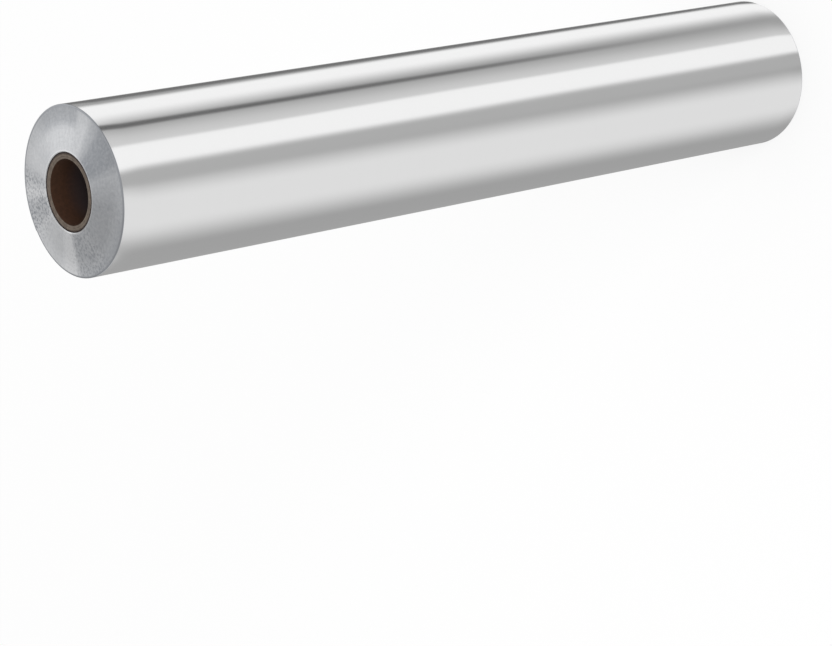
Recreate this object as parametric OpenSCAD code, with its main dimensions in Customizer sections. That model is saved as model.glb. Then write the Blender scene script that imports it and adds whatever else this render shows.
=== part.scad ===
// Roll of household aluminium foil, wound tight on a paperboard core.
// The roll stands on one end. The core's axis is +Z, and the origin is the centre of the lower end.
// The outline of the wound foil is a two-centre spiral: a half round on the axis, and a slightly
// larger half round whose centre is half a step to the side, so that the last turn ends in a step.
// The inner turns and the core have slid up a little past the outer ones, as in a roll that was
// pushed along its core, so the upper end is slightly domed and the lower end slightly hollow.

/* [Wound foil] */
// Width of the foil, which is the length of the roll
foil_width = 300; // [200:5:450]
// Diameter of the wound foil, just under the free edge of its last turn
roll_d = 53; // [46:0.5:90]
// How far the innermost turns have slid past the outermost ones
slip = 1.8; // [0.2:0.1:4]
// Width of the ring of outermost turns that lie level with each other
level_ring = 4; // [2:0.5:6]
// Height of the step where the last turn ends
tail_step = 0.2; // [0.1:0.05:0.6]
// Place of the free edge around the roll, in degrees from +X
tail_angle = 115; // [0:5:355]
// Bevel of the pressed outer edge at both ends
rim_bevel = 0.3; // [0.1:0.05:0.8]
// Bevel of the innermost turns, around the core
mouth_bevel = 0.25; // [0.1:0.05:0.6]

/* [Turns on the ends] */
// Growth in radius over one turn of the groove that parts the groups of turns
turn_pitch = 1.3; // [0.8:0.1:3]
// Width of that groove at the end face
groove_w = 0.34; // [0.2:0.02:0.6]
// Depth of that groove
groove_depth = 0.15; // [0.05:0.01:0.3]
// Plain ring left between the groove and each edge of the face
face_margin = 1; // [0.9:0.1:2]

/* [Core tube] */
// Outer diameter of the core, which the first turn lies on
core_d = 24.6; // [20:0.1:32]
// Wall of the core
core_wall = 2.1; // [1.2:0.1:4]
// How far each end of the core lies inside the end of the foil
core_recess = 0.3; // [0.1:0.05:1.5]
// Bevel on the outside of the core's ends
core_bevel = 0.35; // [0.1:0.05:0.4]
// Bevel at the mouth of the bore
bore_bevel = 0.2; // [0.1:0.05:0.3]
// Plies of board wound into the core
ply_count = 3; // [2:1:5]
// Width and depth of the line between two plies on the core's ends
ply_line = 0.12; // [0.06:0.01:0.16]

/* [Hidden] */
$fn = 96;
roll_r = roll_d / 2;
core_r = core_d / 2;
bore_r = core_r - core_wall;
core_length = foil_width - 2 * core_recess;
level_r = roll_r - level_ring;
// Fall of the slid turns for each unit of radius
slip_slope = slip / (level_r - core_r);
ply = core_wall / ply_count;
// Where the groove starts, and how many whole turns of it fit on the face
first_turn_r = core_r + mouth_bevel + face_margin;
last_turn_r = roll_r - rim_bevel - face_margin;
turns = max(0, floor((last_turn_r - first_turn_r) / turn_pitch));
// Tilt of a half turn of the groove that grows, so that it stays on the sloping face
half_turn_tilt = atan(slip_slope * turn_pitch / (first_turn_r + last_turn_r));
// How far a cutter passes a face that it opens
overrun = 1;

// How far the turn at radius r has slid
function slid(r) = slip_slope * max(0, level_r - r);

// Half of the wound foil, on the side of +Y, with every turn further out by growth
module wound_half(growth) {
    core_x = core_r + growth;
    level_x = level_r + growth;
    outer_x = roll_r + growth;
    rotate_extrude(angle = 180)
        polygon([
            [0, slip],
            [core_x, slip],
            [level_x, 0],
            [outer_x - rim_bevel, 0],
            [outer_x, rim_bevel],
            [outer_x, foil_width - rim_bevel],
            [outer_x - rim_bevel, foil_width],
            [level_x, foil_width],
            [core_x, foil_width + slip],
            [0, foil_width + slip]
        ]);
}

// The wound foil without its bore: two half rounds that meet flush on one side
// and leave the step of the free edge on the other
module wound_blank() {
    wound_half(0);
    translate([tail_step / 2, 0, 0]) rotate([0, 0, 180]) wound_half(tail_step / 2);
}

// Section of a V-shaped cutter whose sides run on past the face, with its point at height depth
module v_section(width, depth) {
    polygon([[-width, -depth], [width, -depth], [0, depth]]);
}

// Half of each turn of the groove, on the side of +Y, with the innermost at radius start_r
module half_turns(start_r, depth) {
    rotate_extrude(angle = 180)
        for (turn = [0 : 1 : turns - 1]) {
            turn_r = start_r + turn * turn_pitch;
            translate([turn_r, slid(turn_r)]) v_section(groove_w, depth);
        }
}

// The groove between the groups of turns: a spiral of half turns about two centres,
// each of which starts where the one before it ends; a negative depth cuts downwards
module turn_spiral(depth) {
    if (turns > 0) {
        half_turns(first_turn_r, depth);
        translate([turn_pitch / 2, 0, 0])
            rotate([0, half_turn_tilt, 0])
                rotate([0, 0, 180])
                    half_turns(first_turn_r + turn_pitch / 2, depth);
    }
}

// The bore around the core, opened by a bevel at both of its mouths
module core_opening() {
    flare = mouth_bevel + overrun;
    translate([0, 0, -overrun]) cylinder(r = core_r, h = foil_width + slip + 2 * overrun);
    translate([0, 0, slip - overrun]) cylinder(r1 = core_r + flare, r2 = core_r, h = flare);
    translate([0, 0, foil_width + slip - mouth_bevel]) cylinder(r1 = core_r, r2 = core_r + flare, h = flare);
}

module foil_roll() {
    color("silver")
    rotate([0, 0, tail_angle])
    difference() {
        wound_blank();
        core_opening();
        turn_spiral(groove_depth);
        translate([0, 0, foil_width]) turn_spiral(-groove_depth);
    }
}

// The rings that part the plies on one end of the core; a negative depth cuts downwards
module ply_grooves(depth) {
    rotate_extrude()
        for (line = [1 : ply_count - 1])
            translate([bore_r + line * ply, 0]) v_section(ply_line, depth);
}

module core_tube() {
    color([0.45, 0.4, 0.36])
    translate([0, 0, slip + core_recess])
    difference() {
        rotate_extrude()
            polygon([
                [bore_r, bore_bevel],
                [bore_r + bore_bevel, 0],
                [core_r - core_bevel, 0],
                [core_r, core_bevel],
                [core_r, core_length - core_bevel],
                [core_r - core_bevel, core_length],
                [bore_r + bore_bevel, core_length],
                [bore_r, core_length - bore_bevel]
            ]);
        ply_grooves(ply_line);
        translate([0, 0, core_length]) ply_grooves(-ply_line);
    }
}

foil_roll();
core_tube();
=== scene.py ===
"""The looks of a roll of household aluminium foil on a paperboard core, standing on one end.

Each piece is a grid of points worked out with numpy, in metres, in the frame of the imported
model: +Z runs up the axis of the core, and the origin is the centre of the lower end.
"""

import logging
import math
from dataclasses import dataclass
from enum import Enum, IntEnum

import bpy
import numpy as np
from mathutils import Matrix, Vector


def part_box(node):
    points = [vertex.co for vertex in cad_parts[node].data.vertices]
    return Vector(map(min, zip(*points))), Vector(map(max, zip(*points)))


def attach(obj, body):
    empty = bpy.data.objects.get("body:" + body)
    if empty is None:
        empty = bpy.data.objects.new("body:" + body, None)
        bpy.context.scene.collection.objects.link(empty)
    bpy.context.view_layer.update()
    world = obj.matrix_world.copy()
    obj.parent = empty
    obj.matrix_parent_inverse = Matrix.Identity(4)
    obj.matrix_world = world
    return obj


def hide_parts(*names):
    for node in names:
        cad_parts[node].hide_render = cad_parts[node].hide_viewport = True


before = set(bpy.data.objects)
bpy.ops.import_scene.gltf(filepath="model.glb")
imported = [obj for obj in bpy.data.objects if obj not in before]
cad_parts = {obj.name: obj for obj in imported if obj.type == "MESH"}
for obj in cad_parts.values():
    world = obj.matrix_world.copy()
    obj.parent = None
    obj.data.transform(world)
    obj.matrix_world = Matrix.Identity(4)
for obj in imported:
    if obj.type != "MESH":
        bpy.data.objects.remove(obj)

LOG = logging.getLogger("foil_roll")
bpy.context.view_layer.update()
MM = 0.001
FULL_TURN = 2 * math.pi
SHARP_ANGLE = math.radians(35.0)


class Slot(Enum):
    """Material slots of the record."""

    FOIL = "foil"
    CORE_BOARD = "core_board"


class FoilSide(IntEnum):
    """Finishes of the wound foil, in the order of its materials."""

    WALL = 0
    END = 1


class CoreSide(IntEnum):
    """Finishes of the core, in the order of its materials."""

    END = 0
    BORE = 1


class NodeBoard:
    """Adds nodes to one node tree and links them."""

    def __init__(self, tree: bpy.types.NodeTree) -> None:
        """Empties the tree.

        Args:
            tree: The node tree of a material or of the world.
        """
        self.tree = tree
        tree.nodes.clear()

    def add(self, kind: str, inputs: dict | None = None, **settings: object) -> bpy.types.Node:
        """Adds one node.

        Args:
            kind: The node's type name.
            inputs: What goes into its sockets, by name or number: a value or another node's socket.
            **settings: The node's own settings.

        Returns:
            The new node.
        """
        node = self.tree.nodes.new(kind)
        for name, value in settings.items():
            setattr(node, name, value)
        for name, value in (inputs or {}).items():
            if isinstance(value, bpy.types.NodeSocket):
                self.tree.links.new(value, node.inputs[name])
            else:
                node.inputs[name].default_value = value
        return node

    def math(self, operation: str, *values: object, clamp: bool = False) -> bpy.types.NodeSocket:
        """Returns the result of a Math node on up to three values or sockets."""
        node = self.add("ShaderNodeMath", dict(enumerate(values)), operation=operation, use_clamp=clamp)
        return node.outputs[0]

    def blend(self, share: object, low: object, high: object) -> bpy.types.NodeSocket:
        """Returns low + share * (high - low) for plain numbers or sockets."""
        return self.add("ShaderNodeMix", {0: share, 2: low, 3: high}, data_type="FLOAT").outputs[0]

    def tint(self, share: object, low: object, high: object) -> bpy.types.NodeSocket:
        """Returns the mix of two colours."""
        return self.add("ShaderNodeMix", {0: share, 6: low, 7: high}, data_type="RGBA").outputs[2]

    def smooth(self, value: object, start: object, end: object) -> bpy.types.NodeSocket:
        """Returns a smooth step of value, from 0 at start to 1 at end."""
        node = self.add(
            "ShaderNodeMapRange",
            {"Value": value, "From Min": start, "From Max": end, "To Min": 0.0, "To Max": 1.0},
            interpolation_type="SMOOTHSTEP",
        )
        return node.outputs["Result"]

    def wrapped(self, angle: object) -> bpy.types.NodeSocket:
        """Returns an angle in degrees, brought to between -180 and 180."""
        return self.math("WRAP", angle, 180.0, -180.0)

    def flat(self, place: object) -> bpy.types.NodeSocket:
        """Returns the point's coordinates with no height."""
        inputs = {0: place, 1: (1.0, 1.0, 0.0)}
        return self.add("ShaderNodeVectorMath", inputs, operation="MULTIPLY").outputs[0]

    def add_noise(self, level: object, noise: object, weight: float) -> bpy.types.NodeSocket:
        """Returns the level with noise about 0.5 added to it, times a weight."""
        return self.math("ADD", level, self.math("MULTIPLY", self.math("SUBTRACT", noise, 0.5), weight))

    def grain(self, place: object, stretch: tuple, detail: float = 2.0) -> bpy.types.NodeSocket:
        """Returns noise about 0.5.

        Args:
            place: The point's coordinates in metres, as a socket.
            stretch: Cycles of the noise for each metre along X, Y and Z.
            detail: How many finer layers the noise has.

        Returns:
            The noise value.
        """
        scaled = self.add("ShaderNodeMapping", {"Vector": place, "Scale": stretch}).outputs[0]
        noise = self.add("ShaderNodeTexNoise", {"Vector": scaled, "Scale": 1.0, "Detail": detail})
        return noise.outputs[0]


def shader_board(name: str) -> tuple[bpy.types.Material, NodeBoard]:
    """Makes a material with no nodes.

    Args:
        name: The material's name.

    Returns:
        The material and its node board.
    """
    material = bpy.data.materials.new(name)
    material.use_nodes = True
    return material, NodeBoard(material.node_tree)


def closed_skin(name: str, points: np.ndarray) -> bpy.types.Object:
    """Makes a closed surface from a grid of points that wraps both ways.

    Row i and column j meet rows i + 1 and columns j + 1 in one four-sided face. Rows go round the
    section, up the outside and down the inside, and columns go round the axis by the right-hand
    rule, so every face points outwards.

    Args:
        name: The piece's name.
        points: Rows by columns by three coordinates, in metres.

    Returns:
        The new object.
    """
    rows, columns, _ = points.shape
    row, column = np.meshgrid(np.arange(rows), np.arange(columns), indexing="ij")
    next_row, next_column = (row + 1) % rows, (column + 1) % columns
    corners = [
        row * columns + column,
        row * columns + next_column,
        next_row * columns + next_column,
        next_row * columns + column,
    ]
    faces = np.stack(corners, axis=-1).reshape(-1, 4)
    mesh = bpy.data.meshes.new(name)
    mesh.from_pydata(points.reshape(-1, 3).tolist(), [], faces.tolist())
    mesh.shade_smooth()
    mesh.set_sharp_from_angle(angle=SHARP_ANGLE)
    piece = bpy.data.objects.new(name, mesh)
    bpy.context.scene.collection.objects.link(piece)
    return piece


def paint_rows(piece: bpy.types.Object, materials: list, sides: np.ndarray) -> None:
    """Gives each row of faces its material.

    Args:
        piece: A piece from closed_skin.
        materials: The materials.
        sides: For each row of faces, the number of its material.
    """
    for material in materials:
        piece.data.materials.append(material)
    columns = len(piece.data.polygons) // len(sides)
    piece.data.polygons.foreach_set("material_index", np.repeat(sides, columns).astype(np.int32))


@dataclass(frozen=True)
class BrightFoil:
    """Finish of the outside of the roll: bright rolled foil with faint lines from the rolls."""

    colour: tuple = (0.918, 0.918, 0.918, 1.0)
    line_colour: tuple = (0.884, 0.884, 0.884, 1.0)
    roughness: float = 0.13
    roughness_change: float = 0.05
    anisotropy: float = 0.45
    line_scale: tuple = (6.0, 6.0, 2600.0)
    cloud_scale: tuple = (45.0, 45.0, 12.0)
    line_height: float = 0.0006 * MM
    sag_scale: tuple = (90.0, 90.0, 8.0)
    sag_height: float = 0.085 * MM

    def make(self) -> bpy.types.Material:
        """Builds the material.

        The rolls leave lines round the roll, so noise that changes fast along the axis and slowly
        round it tints and bumps the foil, and reflections spread along the axis. A slow noise
        drawn out along the axis stands for the slight slack of the outermost turn.

        Returns:
            The material.
        """
        material, board = shader_board("bright_foil")
        place = board.add("ShaderNodeTexCoord").outputs["Object"]
        lines = board.grain(place, self.line_scale, detail=3.0)
        cloud = board.grain(place, self.cloud_scale)
        along = board.add("ShaderNodeCombineXYZ", {"Z": 1.0}).outputs[0]
        sag = board.grain(place, self.sag_scale, detail=1.0)
        slack = board.add("ShaderNodeBump", {"Height": sag, "Distance": self.sag_height})
        bump = board.add(
            "ShaderNodeBump",
            {"Height": lines, "Distance": self.line_height, "Normal": slack.outputs[0]},
        )
        low = self.roughness - self.roughness_change / 2
        surface = board.add(
            "ShaderNodeBsdfPrincipled",
            {
                "Base Color": board.tint(lines, self.line_colour, self.colour),
                "Metallic": 1.0,
                "Roughness": board.blend(cloud, low, low + self.roughness_change),
                "Anisotropic": self.anisotropy,
                "Tangent": along,
                "Normal": bump.outputs[0],
            },
        )
        board.add("ShaderNodeOutputMaterial", {"Surface": surface.outputs[0]})
        return material


@dataclass(frozen=True)
class PaintedLightAndWearSector:
    """One sector of an end, painted brighter or darker: the painted sectors are painted highlights and
    painted shade in place of the light that the brushed cut edges reflect, and the worn sectors give
    their level as wear.

    It fades out over the last fade before reach, both shares of the radius of the roll.
    """

    angle: float
    half_width: float
    feather: float
    level: float
    reach: float = 2.0
    fade: float = 0.14


@dataclass(frozen=True)
class CutEnds:
    """Finish of the ends: the cut edges of the turns, a satin metal brushed round the axis."""

    radius: float
    core_radius: float
    # The tone runs from the dull colour to the bright one; the painted highlights and painted shade
    # move it between them.
    bright_colour: tuple = (0.970, 0.978, 0.992, 1.0)
    dull_colour: tuple = (0.400, 0.418, 0.448, 1.0)
    base_level: float = 0.38
    roughness: float = 0.30
    roughness_change: float = 0.10
    anisotropy: float = 0.6
    speck_scale: tuple = (1100.0, 1100.0, 1100.0)
    patch_scale: tuple = (1150.0, 1150.0, 1150.0)
    patch_depth: float = 0.52
    patch_balance: float = 0.30
    patch_band: tuple = (0.42, 0.66)
    streak_scale: float = 16.0
    ring_step: float = 0.3 * MM
    ring_height: float = 0.0015 * MM
    speck_height: float = 0.006 * MM
    # A painted highlight ring round the core, where the inner edge of the turns catches the light.
    highlight_ring_inner: float = 0.3 * MM
    highlight_ring_outer: float = 0.9 * MM
    # A painted shade ring along the outer edge of the ends, in place of the dark reflection there.
    rim_shade_width: float = 0.8 * MM
    rim_shade_level: float = 0.12
    streak_weight: float = 0.18
    speck_weight: float = 0.45
    # Strength of the painted highlight ring round the core.
    highlight_ring_weight: float = 0.3
    plain_wear: float = 0.06

    def painted_light_sectors(self) -> list[PaintedLightAndWearSector]:
        """Returns the sectors of painted highlight and painted shade, in place of the light that the
        brushed cut edges reflect, each painted over those before it, at angles from +X in degrees.
        """
        return [
            PaintedLightAndWearSector(52.0, 38.0, 34.0, 0.56),
            PaintedLightAndWearSector(62.0, 4.0, 12.0, 0.68),
            PaintedLightAndWearSector(2.0, 14.0, 30.0, 0.25),
            PaintedLightAndWearSector(4.0, 22.0, 26.0, 0.63, 0.84),
            PaintedLightAndWearSector(-29.0, 4.0, 7.0, 0.60),
            PaintedLightAndWearSector(-62.0, 10.0, 12.0, 0.06),
            PaintedLightAndWearSector(-98.0, 12.0, 20.0, 0.38),
            PaintedLightAndWearSector(-140.0, 22.0, 14.0, 0.24),
            PaintedLightAndWearSector(-140.0, 22.0, 14.0, 0.42, 0.97),
            PaintedLightAndWearSector(136.0, 26.0, 12.0, 0.76),
            PaintedLightAndWearSector(104.0, 3.0, 14.0, 0.42),
            PaintedLightAndWearSector(76.0, 3.0, 9.0, 0.50),
            PaintedLightAndWearSector(88.0, 1.5, 7.0, 0.80),
            PaintedLightAndWearSector(163.0, 3.5, 11.0, 1.00),
        ]

    def worn(self) -> list[PaintedLightAndWearSector]:
        """Returns the sectors whose edges are crushed into flecks, with their wear as the level."""
        return [
            PaintedLightAndWearSector(97.0, 16.0, 18.0, 1.1),
            PaintedLightAndWearSector(-174.0, 16.0, 20.0, 0.58),
            PaintedLightAndWearSector(-62.0, 8.0, 14.0, 0.15),
        ]

    def paint_sectors(self, board: NodeBoard, spot: tuple, base: float, sectors: list) -> object:
        """Paints sectors over a base level.

        Args:
            board: The material's nodes.
            spot: The point's angle in degrees and its distance from the axis, as sockets.
            base: The level beside the sectors.
            sectors: The sectors, in the order in which they are painted.

        Returns:
            The level at each point.
        """
        angle, radius = spot
        level: object = base
        for sector in sectors:
            aside = board.wrapped(board.math("SUBTRACT", angle, sector.angle))
            away = board.math("ABSOLUTE", aside)
            share = board.smooth(away, sector.half_width + sector.feather, sector.half_width)
            fade_from, fade_to = sector.reach * self.radius, (sector.reach - sector.fade) * self.radius
            share = board.math("MULTIPLY", share, board.smooth(radius, fade_from, fade_to))
            level = board.blend(share, level, sector.level)
        return level

    def make(self) -> bpy.types.Material:
        """Builds the material.

        Noise on the distance from the axis gives the fine rings of the turns, noise on the
        direction from the axis gives streaks, and fine noise gives the specks of crushed edges.
        Another noise gives the worn sectors their dull and bright flecks. Reflections spread outwards
        from the axis. Sectors of painted highlight and painted shade set the tone round the face, a
        painted highlight ring lies round the core where the inner edge of the turns catches the light,
        and a painted shade ring darkens the outer edge.

        Returns:
            The material.
        """
        material, board = shader_board("cut_foil_ends")
        place = board.add("ShaderNodeTexCoord").outputs["Object"]
        parts = board.add("ShaderNodeSeparateXYZ", {0: place}).outputs
        flat = board.flat(place)
        outwards = board.add("ShaderNodeVectorMath", {0: flat}, operation="NORMALIZE").outputs[0]
        radius = board.add("ShaderNodeVectorMath", {0: flat}, operation="LENGTH").outputs["Value"]
        ring_place = board.add("ShaderNodeCombineXYZ", {"X": radius}).outputs[0]
        rings = board.grain(ring_place, (1.0 / self.ring_step, 1.0, 1.0))
        specks = board.grain(place, self.speck_scale, detail=3.0)
        streaks = board.grain(outwards, (self.streak_scale,) * 3, detail=4.0)
        angle = board.math("DEGREES", board.math("ARCTAN2", parts[1], parts[0]))
        spot = (angle, radius)
        # Sectors of painted highlight and painted shade, in place of the light reflected by the brushed
        # cut edges.
        level = self.paint_sectors(board, spot, self.base_level, self.painted_light_sectors())
        level = board.add_noise(level, streaks, self.streak_weight)
        level = board.add_noise(level, specks, self.speck_weight)
        wear = self.paint_sectors(board, spot, self.plain_wear, self.worn())
        patches = board.smooth(board.grain(place, self.patch_scale), *self.patch_band)
        patches = board.math("SUBTRACT", self.patch_balance, patches)
        patches = board.math("MULTIPLY", patches, board.math("MULTIPLY", wear, self.patch_depth))
        level = board.math("ADD", level, patches)
        # Painted highlight ring round the core.
        highlight_ring_from, highlight_ring_to = self.core_radius + self.highlight_ring_outer, self.core_radius + self.highlight_ring_inner
        highlight_ring = board.smooth(radius, highlight_ring_from, highlight_ring_to)
        level = board.math("ADD", level, board.math("MULTIPLY", highlight_ring, self.highlight_ring_weight), clamp=True)
        # Painted shade ring along the outer edge.
        rim_shade = board.smooth(radius, self.radius - self.rim_shade_width, self.radius - self.rim_shade_width / 2)
        level = board.blend(rim_shade, level, self.rim_shade_level)
        ring_bump = board.add("ShaderNodeBump", {"Height": rings, "Distance": self.ring_height})
        bump = board.add(
            "ShaderNodeBump",
            {"Height": specks, "Distance": self.speck_height, "Normal": ring_bump.outputs[0]},
        )
        low = self.roughness - self.roughness_change / 2
        surface = board.add(
            "ShaderNodeBsdfPrincipled",
            {
                "Base Color": board.tint(level, self.dull_colour, self.bright_colour),
                "Metallic": 1.0,
                "Roughness": board.blend(specks, low, low + self.roughness_change),
                "Anisotropic": self.anisotropy,
                "Tangent": outwards,
                "Normal": bump.outputs[0],
            },
        )
        board.add("ShaderNodeOutputMaterial", {"Surface": surface.outputs[0]})
        return material


@dataclass(frozen=True)
class CoreBoard:
    """Finish of the paperboard core: grey-brown cut ends with a painted shade ring round their outside,
    and a darker brown bore.
    """

    name: str
    colour: tuple
    dark_colour: tuple
    radius: float
    middle: float
    mouth: float
    # A painted shade ring inside the outer radius, for the gap between the core and the foil.
    gap_shade_colour: tuple = (0.048, 0.036, 0.032, 1.0)
    gap_shade_outer: float = 0.40 * MM
    gap_shade_inner: float = 0.75 * MM
    deep_colour: tuple = (0.062, 0.046, 0.048, 1.0)
    deep_from: float = 4.5 * MM
    deep_to: float = 12.5 * MM
    seam_pitch: float = 74.0 * MM
    seam_band: tuple = (0.485, 0.495)
    fibre_scale: tuple = (900.0, 900.0, 900.0)
    fibre_band: tuple = (0.3, 0.7)
    fibre_height: float = 0.03 * MM
    roughness: float = 0.85
    specular: float = 0.2

    def make(self) -> bpy.types.Material:
        """Builds the material.

        Noise tints the board as its fibres do. Over a ring just inside the outer radius, set by its
        inner and outer distances, it passes into a painted shade colour for the gap between the core
        and the foil, and a thin line on a helix marks the seam of the wound strip. From deep_from to
        deep_to inside either mouth, which lies mouth away from the middle, the board passes into the
        deep colour.

        Returns:
            The material.
        """
        material, board = shader_board(self.name)
        place = board.add("ShaderNodeTexCoord").outputs["Object"]
        parts = board.add("ShaderNodeSeparateXYZ", {0: place}).outputs
        flat = board.flat(place)
        radius = board.add("ShaderNodeVectorMath", {0: flat}, operation="LENGTH").outputs["Value"]
        turn = board.math("DIVIDE", board.math("ARCTAN2", parts[1], parts[0]), FULL_TURN)
        phase = board.math("ADD", turn, board.math("DIVIDE", parts[2], self.seam_pitch))
        beside = board.math("ABSOLUTE", board.math("SUBTRACT", board.math("FRACT", phase), 0.5))
        seam = board.smooth(beside, *self.seam_band)
        fibres = board.grain(place, self.fibre_scale, detail=4.0)
        fibre_share = board.smooth(fibres, *self.fibre_band)
        fibred = board.tint(fibre_share, self.dark_colour, self.colour)
        # Painted shade of the gap between the core and the foil.
        edge = board.smooth(radius, self.radius - self.gap_shade_inner, self.radius - self.gap_shade_outer)
        from_middle = board.math("ABSOLUTE", board.math("SUBTRACT", parts[2], self.middle))
        depth = board.math("SUBTRACT", self.mouth, from_middle)
        deep = board.smooth(depth, self.deep_from, self.deep_to)
        seamed = board.tint(seam, board.tint(deep, fibred, self.deep_colour), self.dark_colour)
        height = board.math("SUBTRACT", fibres, seam)
        bump = board.add("ShaderNodeBump", {"Height": height, "Distance": self.fibre_height})
        surface = board.add(
            "ShaderNodeBsdfPrincipled",
            {
                "Base Color": board.tint(edge, seamed, self.gap_shade_colour),
                "Roughness": self.roughness,
                "Specular IOR Level": self.specular,
                "Normal": bump.outputs[0],
            },
        )
        board.add("ShaderNodeOutputMaterial", {"Surface": surface.outputs[0]})
        return material


@dataclass
class WoundFoil:
    """The wound foil: one mass of turns with a free edge along its outside."""

    height: float
    core_radius: float
    radius: float = 26.5 * MM
    slip: float = 1.8 * MM
    level_ring: float = 4.0 * MM
    dome_softness: float = 1.3 * MM
    tail_step: float = 0.2 * MM
    tail_angle: float = math.radians(115.0)
    tail_width: float = math.radians(0.12)
    tail_wave: float = 0.07 * MM
    tail_reach: float = 5.0 * MM
    rim_bevel: float = 0.3 * MM
    mouth_bevel: float = 0.25 * MM
    turn_pitch: float = 1.3 * MM
    groove_width: float = 0.34 * MM
    groove_depth: float = 0.015 * MM
    face_margin: float = 1.0 * MM
    lean: float = math.radians(0.3)
    ripple: float = 0.006 * MM
    columns: int = 480
    top_rows: int = 100
    base_rows: int = 26
    wall_rows: int = 40
    rim_rows: int = 4

    def outer_radius(self, turned: np.ndarray, step: float) -> np.ndarray:
        """Works out a spiral of two half rounds, as the distance of its outline from the axis.

        On the first half it is the radius itself. On the second half the centre lies step / 2 to
        the side and the radius is step / 2 larger, so it ends one step further out.

        Args:
            turned: Angle from the free edge, from 0 to a full turn.
            step: How far the outline grows over a turn.

        Returns:
            The distance for each angle.
        """
        aside = step / 2
        larger = self.radius + aside
        second = aside * np.cos(turned) + np.sqrt(larger**2 - (aside * np.sin(turned)) ** 2)
        return np.where(turned <= math.pi, self.radius, second)

    def slid(self, distance: np.ndarray) -> np.ndarray:
        """Works out how far the turn at each distance from the axis has slid up.

        The outermost turns lie level, and inside them the slide grows evenly up to the core. The
        softness times the logarithm of one plus e to the power of the distance inside the level
        turns, over the softness, rounds the passage between the two.

        Args:
            distance: Distance from the axis.

        Returns:
            The slide at each distance.
        """
        level_radius = self.radius - self.level_ring
        slope = self.slip / (level_radius - self.core_radius)
        inside = (level_radius - distance) / self.dome_softness
        return slope * self.dome_softness * np.log1p(np.exp(inside))

    def relief(self, distance: np.ndarray, turned: np.ndarray) -> np.ndarray:
        """Works out how deep the end face lies under the slid turns.

        Each group of turns leans, so it gets deeper outwards by the tangent of its lean times the
        distance into the group, and a groove whose section is a squared sine parts it from the
        next. The groups follow the spiral of half rounds about two centres.

        Args:
            distance: Distance from the axis.
            turned: Angle from the free edge.

        Returns:
            The depth at each point.
        """
        x, y = distance * np.cos(turned), distance * np.sin(turned)
        aside = self.turn_pitch / 2
        wound = np.where(y >= 0, distance, np.hypot(x - aside, y) - aside)
        first = self.core_radius + self.mouth_bevel + self.face_margin
        last = self.radius - self.rim_bevel - self.face_margin
        turns = math.floor((last - first) / self.turn_pitch)
        phase = (wound - first) / self.turn_pitch
        nearest = np.clip(np.round(phase), 0, turns - 1)
        beside = np.abs(phase - nearest) * self.turn_pitch
        share = np.clip(1 - beside / (self.groove_width / 2), 0, 1)
        groove = self.groove_depth * np.sin(share * math.pi / 2) ** 2
        in_group = (phase - np.floor(phase)) * self.turn_pitch
        return groove + math.tan(self.lean) * in_group * (1 - share)

    def wall_ripple(self, turned: np.ndarray, height: np.ndarray) -> np.ndarray:
        """Works out the slight unevenness of the wound wall as the mean of slow sine waves.

        Each wave is the sine of its count times the angle, plus its rate times the height, plus
        its start.

        Args:
            turned: Angle from the free edge.
            height: Height above the lower end.

        Returns:
            How far the wall stands out at each point.
        """
        waves = [(3, 21.0, 0.4), (5, -34.0, 1.9), (8, 55.0, 3.1), (2, 89.0, 5.2)]
        total = sum(np.sin(count * turned + rate * height + start) for count, rate, start in waves)
        return self.ripple * total / len(waves)

    def edge_wave(self, turned: np.ndarray) -> np.ndarray:
        """Works out the shallow hollow beside the free edge, as one wave of a squared sine."""
        beside = (FULL_TURN - turned) * self.radius
        return self.tail_wave * np.sin(math.pi * np.clip(beside / self.tail_reach, 0, 1)) ** 2

    def face(self, rows: int, rim: np.ndarray, turned: np.ndarray) -> tuple:
        """Works out the rows of an end face, which share out the way from its mouth to its rim.

        Args:
            rows: How many rows the face has.
            rim: Distance of its rim from the axis.
            turned: Angle from the free edge.

        Returns:
            For each point the distance from the axis, the depth and the slide.
        """
        mouth = self.core_radius + self.mouth_bevel
        distance = mouth + np.linspace(0, 1, rows)[:, None] * (rim - mouth)
        return distance, self.relief(distance, turned), self.slid(distance)

    def points(self) -> tuple[np.ndarray, np.ndarray]:
        """Works out the grid of points and the side of each row.

        The section goes out over the lower face, up the wall, in over the upper face and down
        the hole. Between a face and the wall it follows a quarter of a round. The step of the free
        edge lies between the last column and the first, which are close together.

        Returns:
            The points, and the side that each row of faces belongs to.
        """
        turned = np.append(
            np.linspace(0, FULL_TURN, self.columns - 1, endpoint=False),
            FULL_TURN - self.tail_width,
        )[None, :]
        outer = self.outer_radius(turned, self.tail_step) - self.edge_wave(turned)
        rim = outer - self.rim_bevel
        bend = np.linspace(0, math.pi / 2, self.rim_rows + 2)[1:-1, None]
        length = self.height - self.slip
        base_r, base_z, base_slid = self.face(self.base_rows, rim, turned)
        top_r, top_z, top_slid = self.face(self.top_rows, rim, turned)
        bend_r = rim + self.rim_bevel * np.sin(bend)
        bend_z = self.rim_bevel * (1 - np.cos(bend)) + base_z[-1] * (1 - np.sin(bend))
        top_bend_z = self.rim_bevel * (1 - np.cos(bend)) + top_z[-1] * (1 - np.sin(bend))
        wall_z = np.linspace(self.rim_bevel, length - self.rim_bevel, self.wall_rows)[:, None]
        wall_r = outer + self.wall_ripple(turned, wall_z)
        hole_z = np.array([[self.height - self.mouth_bevel], [self.slip + self.mouth_bevel]])
        spread = np.ones_like(turned)
        hole_r = self.core_radius * spread * np.ones_like(hole_z)
        distances = [base_r, bend_r, wall_r, bend_r[::-1], top_r[::-1], hole_r]
        heights = [
            base_slid + base_z,
            bend_z,
            wall_z * spread,
            length - top_bend_z[::-1],
            (length + top_slid - top_z)[::-1],
            hole_z * spread,
        ]
        counts = [len(rows) for rows in distances]
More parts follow.
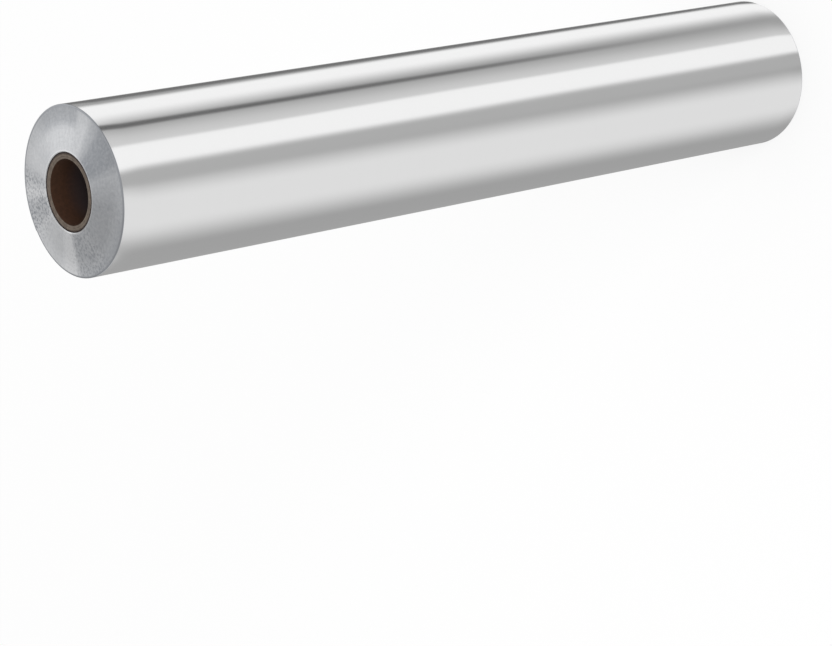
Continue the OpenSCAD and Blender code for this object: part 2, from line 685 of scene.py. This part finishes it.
        sides = np.full(sum(counts), FoilSide.END)
        wall_from = sum(counts[:2])
        sides[wall_from : wall_from + self.wall_rows - 1] = FoilSide.WALL
        distance, height = np.concatenate(distances), np.concatenate(heights)
        around = turned + self.tail_angle
        points = np.stack([distance * np.cos(around), distance * np.sin(around), height], axis=-1)
        return points, sides

    def build(self) -> bpy.types.Object:
        """Makes the piece, dresses it and sets it on the CAD node's body.

        Returns:
            The piece.
        """
        points, sides = self.points()
        piece = closed_skin("wound_foil", points)
        finishes = [BrightFoil().make(), CutEnds(self.radius, self.core_radius).make()]
        paint_rows(piece, finishes, sides)
        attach(piece, "root")
        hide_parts("foil_roll")
        return piece


@dataclass
class CoreTube:
    """The paperboard core, open from end to end."""

    low: float
    high: float
    radius: float
    wall: float = 2.1 * MM
    outer_bevel: float = 0.35 * MM
    bore_bevel: float = 0.15 * MM
    plies: int = 3
    ply_line: float = 0.12 * MM
    line_depth: float = 0.1 * MM
    columns: int = 256
    wall_rows: int = 24

    def end_profile(self) -> np.ndarray:
        """Works out the section of one end from the bore to the outside, as distance and depth.

        The end is flat between its two bevels, with a small V at each line between two plies.

        Returns:
            Rows of distance from the axis and depth under the end's plane.
        """
        bore_radius = self.radius - self.wall
        half = self.ply_line / 2
        spots = [(bore_radius, self.bore_bevel), (bore_radius + self.bore_bevel, 0.0)]
        for number in range(1, self.plies):
            middle = bore_radius + number * self.wall / self.plies
            spots += [(middle - half, 0.0), (middle, self.line_depth), (middle + half, 0.0)]
        spots += [(self.radius - self.outer_bevel, 0.0), (self.radius, self.outer_bevel)]
        return np.array(spots)

    def build(self) -> bpy.types.Object:
        """Makes the piece, dresses it and sets it on the CAD node's body.

        The section runs out over the lower end, up the outside, in over the upper end and down
        the bore, and is carried round the axis.

        Returns:
            The piece.
        """
        end = self.end_profile()
        shares = np.linspace(0, 1, self.wall_rows + 2)[1:-1]
        bore_top, bore_base = self.high - self.bore_bevel, self.low + self.bore_bevel
        bore_z = bore_top + shares * (bore_base - bore_top)
        bore = np.stack([np.full(self.wall_rows, self.radius - self.wall), bore_z], axis=-1)
        lower = np.stack([end[:, 0], self.low + end[:, 1]], axis=-1)
        upper = np.stack([end[::-1, 0], self.high - end[::-1, 1]], axis=-1)
        section = np.concatenate([lower, upper, bore])
        around = np.linspace(0, FULL_TURN, self.columns, endpoint=False)[None, :]
        distance, height = section[:, :1], section[:, 1:] + 0 * around
        points = np.stack([distance * np.cos(around), distance * np.sin(around), height], axis=-1)
        sides = np.full(len(section), CoreSide.END)
        sides[len(lower) + len(upper) - 1 :] = CoreSide.BORE
        piece = closed_skin("paper_core", points)
        paint_rows(piece, self.finishes(), sides)
        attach(piece, "root")
        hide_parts("core_tube")
        return piece

    def finishes(self) -> list[bpy.types.Material]:
        """Makes the core's materials.

        Returns:
            The finish of the ends and that of the bore.
        """
        place = {
            "radius": self.radius,
            "middle": (self.low + self.high) / 2,
            "mouth": (self.high - self.low) / 2,
        }
        end_colour, end_dark = (0.160, 0.130, 0.105, 1.0), (0.113, 0.090, 0.073, 1.0)
        bore_colour, bore_dark = (0.068, 0.032, 0.0185, 1.0), (0.054, 0.0265, 0.0155, 1.0)
        ends = CoreBoard("board_ends", end_colour, end_dark, **place)
        bore = CoreBoard("board_bore", bore_colour, bore_dark, **place)
        return [ends.make(), bore.make()]


@dataclass(frozen=True)
class StudioCard:
    """One upright card of the studio, as a band of azimuths in degrees with its own brightness.

    Its edges are soft over low_soft and high_soft degrees outside it. It leans by slant degrees
    of azimuth for each unit by which a direction's height falls below the pivot, and it fades in
    between the two heights of its foot, which lies below every direction unless it is given.
    """

    azimuth: float
    half_width: float
    low_soft: float
    high_soft: float
    level: float
    slant: float = 0.0
    foot: tuple = (-3.0, -2.0)


@dataclass(frozen=True)
class Studio:
    """Light and setting: a pale floor, plain soft light, and upright cards that the metal shows."""

    floor_size: float = 12.0
    floor_colour: tuple = (0.95, 0.95, 0.95, 1.0)
    floor_height: float = -0.05 * MM
    floor_white: float = 0.75
    plain_level: float = 0.95
    base_level: float = 0.38
    upper_level: float = 0.50
    zenith_level: float = 0.78
    dim_level: float = 0.8
    upper_band: tuple = (0.0, 0.2)
    dim_band: tuple = (0.5, 0.85)
    zenith_band: tuple = (0.9, 0.98)
    pivot: float = -0.63
    key_power: float = 5.0
    key_size: float = 0.6
    key_place: tuple = (0.35, -1.15, 0.85)
    key_aim: tuple = (0.0, 0.0, 0.15)

    def lower_cards(self) -> list[StudioCard]:
        """Returns the cards that the wall of the roll shows, each painted over those before it."""
        return [
            StudioCard(-134.0, 14.0, 52.0, 38.0, 0.80, -40.0),
            StudioCard(-80.0, 6.0, 12.0, 6.0, 0.455),
            StudioCard(-40.0, 4.0, 10.0, 34.0, 0.66),
            StudioCard(-51.25, 12.75, 11.0, 3.5, 0.98, 18.0),
            StudioCard(70.0, 6.0, 10.0, 7.0, 0.17),
            StudioCard(36.5, 9.5, 34.0, 12.0, 0.98, 65.0),
            StudioCard(-6.6, 1.6, 3.2, 3.8, 0.13, 14.0, (-0.72, -0.65)),
            StudioCard(-6.4, 2.2, 3.8, 4.5, 0.13, 14.0, (-0.64, -0.57)),
            StudioCard(152.0, 11.0, 12.0, 26.0, 0.93, 0.0, (-0.50, -0.38)),
            StudioCard(116.0, 1.5, 5.0, 9.0, 0.16, 0.0, (-0.50, -0.38)),
        ]

    def upper_cards(self) -> list[StudioCard]:
        """Returns the cards that the upper end of the roll shows."""
        return [
            StudioCard(62.0, 14.0, 20.0, 26.0, 0.90),
            StudioCard(118.0, 10.0, 14.0, 20.0, 0.41),
        ]

    def card_share(self, board: NodeBoard, parts: tuple, card: StudioCard) -> object:
        """Works out how much each direction sees of a card.

        Args:
            board: The world's nodes.
            parts: The direction's azimuth in degrees and its height, as sockets.
            card: The card.

        Returns:
            The share, 0 beside the card and 1 on it.
        """
        azimuth, height = parts
        lean = board.math("MULTIPLY", board.math("SUBTRACT", height, self.pivot), card.slant)
        aside = board.math("ADD", board.math("SUBTRACT", azimuth, card.azimuth), lean)
        aside = board.wrapped(aside)
        from_low = board.smooth(aside, -card.half_width - card.low_soft, -card.half_width)
        from_high = board.smooth(aside, card.half_width + card.high_soft, card.half_width)
        share = board.math("MULTIPLY", from_low, from_high)
        return board.math("MULTIPLY", share, board.smooth(height, *card.foot))

    def paint_cards(self, board: NodeBoard, parts: tuple, base: float, cards: list) -> object:
        """Paints cards over a base level.

        Args:
            board: The world's nodes.
            parts: The direction's azimuth in degrees and its height, as sockets.
            base: Brightness where no card stands.
            cards: The cards, in the order in which they are painted.

        Returns:
            The brightness of each direction.
        """
        level: object = base
        for card in cards:
            level = board.blend(self.card_share(board, parts, card), level, card.level)
        return level

    def light(self) -> None:
        """Builds the world: plain light for every surface, with the cards where metal looks."""
        world = bpy.data.worlds.new("studio")
        world.use_nodes = True
        bpy.context.scene.world = world
        board = NodeBoard(world.node_tree)
        direction = board.add("ShaderNodeTexCoord").outputs["Generated"]
        axes = board.add("ShaderNodeSeparateXYZ", {0: direction}).outputs
        azimuth = board.math("DEGREES", board.math("ARCTAN2", axes[1], axes[0]))
        height = axes[2]
        parts = (azimuth, height)
        lower = self.paint_cards(board, parts, self.base_level, self.lower_cards())
        upper = self.paint_cards(board, parts, self.upper_level, self.upper_cards())
        dimmed = board.blend(board.smooth(height, *self.dim_band), 1.0, self.dim_level)
        upper = board.math("MULTIPLY", upper, dimmed)
        upper = board.blend(board.smooth(height, *self.zenith_band), upper, self.zenith_level)
        cards = board.blend(board.smooth(height, *self.upper_band), lower, upper)
        path = board.add("ShaderNodeLightPath").outputs
        plain = board.blend(path["Is Glossy Ray"], self.plain_level, cards)
        strength = board.blend(path["Is Camera Ray"], plain, 1.0)
        back = board.add("ShaderNodeBackground", {"Color": (1.0, 1.0, 1.0, 1.0), "Strength": strength})
        board.add("ShaderNodeOutputWorld", {"Surface": back.outputs[0]})

    def lay_floor(self) -> None:
        """Lays the pale floor, which keeps the roll's shadow and stays out of its reflections."""
        half = self.floor_size / 2
        mesh = bpy.data.meshes.new("floor")
        outline = [(-half, -half), (half, -half), (half, half), (-half, half)]
        mesh.from_pydata([(x, y, self.floor_height) for x, y in outline], [], [(0, 1, 2, 3)])
        floor = bpy.data.objects.new("floor", mesh)
        bpy.context.scene.collection.objects.link(floor)
        material, board = shader_board("pale_floor")
        camera_ray = board.add("ShaderNodeLightPath").outputs["Is Camera Ray"]
        shade = board.add("ShaderNodeBsdfDiffuse", {"Color": self.floor_colour}).outputs[0]
        white = board.add("ShaderNodeEmission", {"Strength": 1.0}).outputs[0]
        share = board.math("MULTIPLY", camera_ray, self.floor_white)
        mixed = board.add("ShaderNodeMixShader", {0: share, 1: shade, 2: white}).outputs[0]
        board.add("ShaderNodeOutputMaterial", {"Surface": mixed})
        mesh.materials.append(material)
        floor.visible_glossy = False

    def hang_lamp(self) -> None:
        """Hangs one large soft lamp, whose own image stays out of the metal."""
        lamp = bpy.data.lights.new("soft_lamp", "AREA")
        lamp.energy = self.key_power
        lamp.size = self.key_size
        holder = bpy.data.objects.new("soft_lamp", lamp)
        holder.location = self.key_place
        aim = Vector(self.key_aim) - Vector(self.key_place)
        holder.rotation_mode = "QUATERNION"
        holder.rotation_quaternion = aim.to_track_quat("-Z", "Y")
        holder.visible_glossy = False
        bpy.context.scene.collection.objects.link(holder)

    def build(self) -> None:
        """Builds the whole setting."""
        self.light()
        self.lay_floor()
        self.hang_lamp()
        LOG.info("studio ready")


@dataclass(frozen=True)
class Viewpoint:
    """The camera: above the roll and turned on its side, so that the roll lies in the picture."""

    place: tuple = (0.03855, -0.68108, 0.73408)
    forward: tuple = (-0.11426, 0.76777, -0.63045)
    up: tuple = (0.98397, 0.0, -0.17834)
    lens: float = 115.25
    sensor: float = 36.0
    clip_start: float = 0.01

    def build(self) -> None:
        """Makes the camera and sets it as the scene's own."""
        data = bpy.data.cameras.new("camera")
        data.lens = self.lens
        data.sensor_width = self.sensor
        data.clip_start = self.clip_start
        camera = bpy.data.objects.new("camera", data)
        back = -Vector(self.forward).normalized()
        right = Vector(self.up).cross(back).normalized()
        turned = Matrix((right, back.cross(right), back)).transposed().to_4x4()
        camera.matrix_world = Matrix.Translation(self.place) @ turned
        bpy.context.scene.collection.objects.link(camera)
        bpy.context.scene.camera = camera
        LOG.info("camera ready")


def main() -> None:
    """Builds the camera, the two pieces and their setting, in that order."""
    logging.basicConfig(level=logging.INFO)
    bpy.context.scene.view_settings.view_transform = "Standard"
    Viewpoint().build()
    foil_low, foil_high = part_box("foil_roll")
    core_low, core_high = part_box("core_tube")
    core_radius = (core_high[0] - core_low[0]) / 2
    foil = WoundFoil(height=foil_high[2] - foil_low[2], core_radius=core_radius)
    LOG.info("made %s", foil.build().name)
    core = CoreTube(low=core_low[2], high=core_high[2], radius=core_radius)
    LOG.info("made %s", core.build().name)
    Studio().build()


if __name__ == "__main__":
    main()
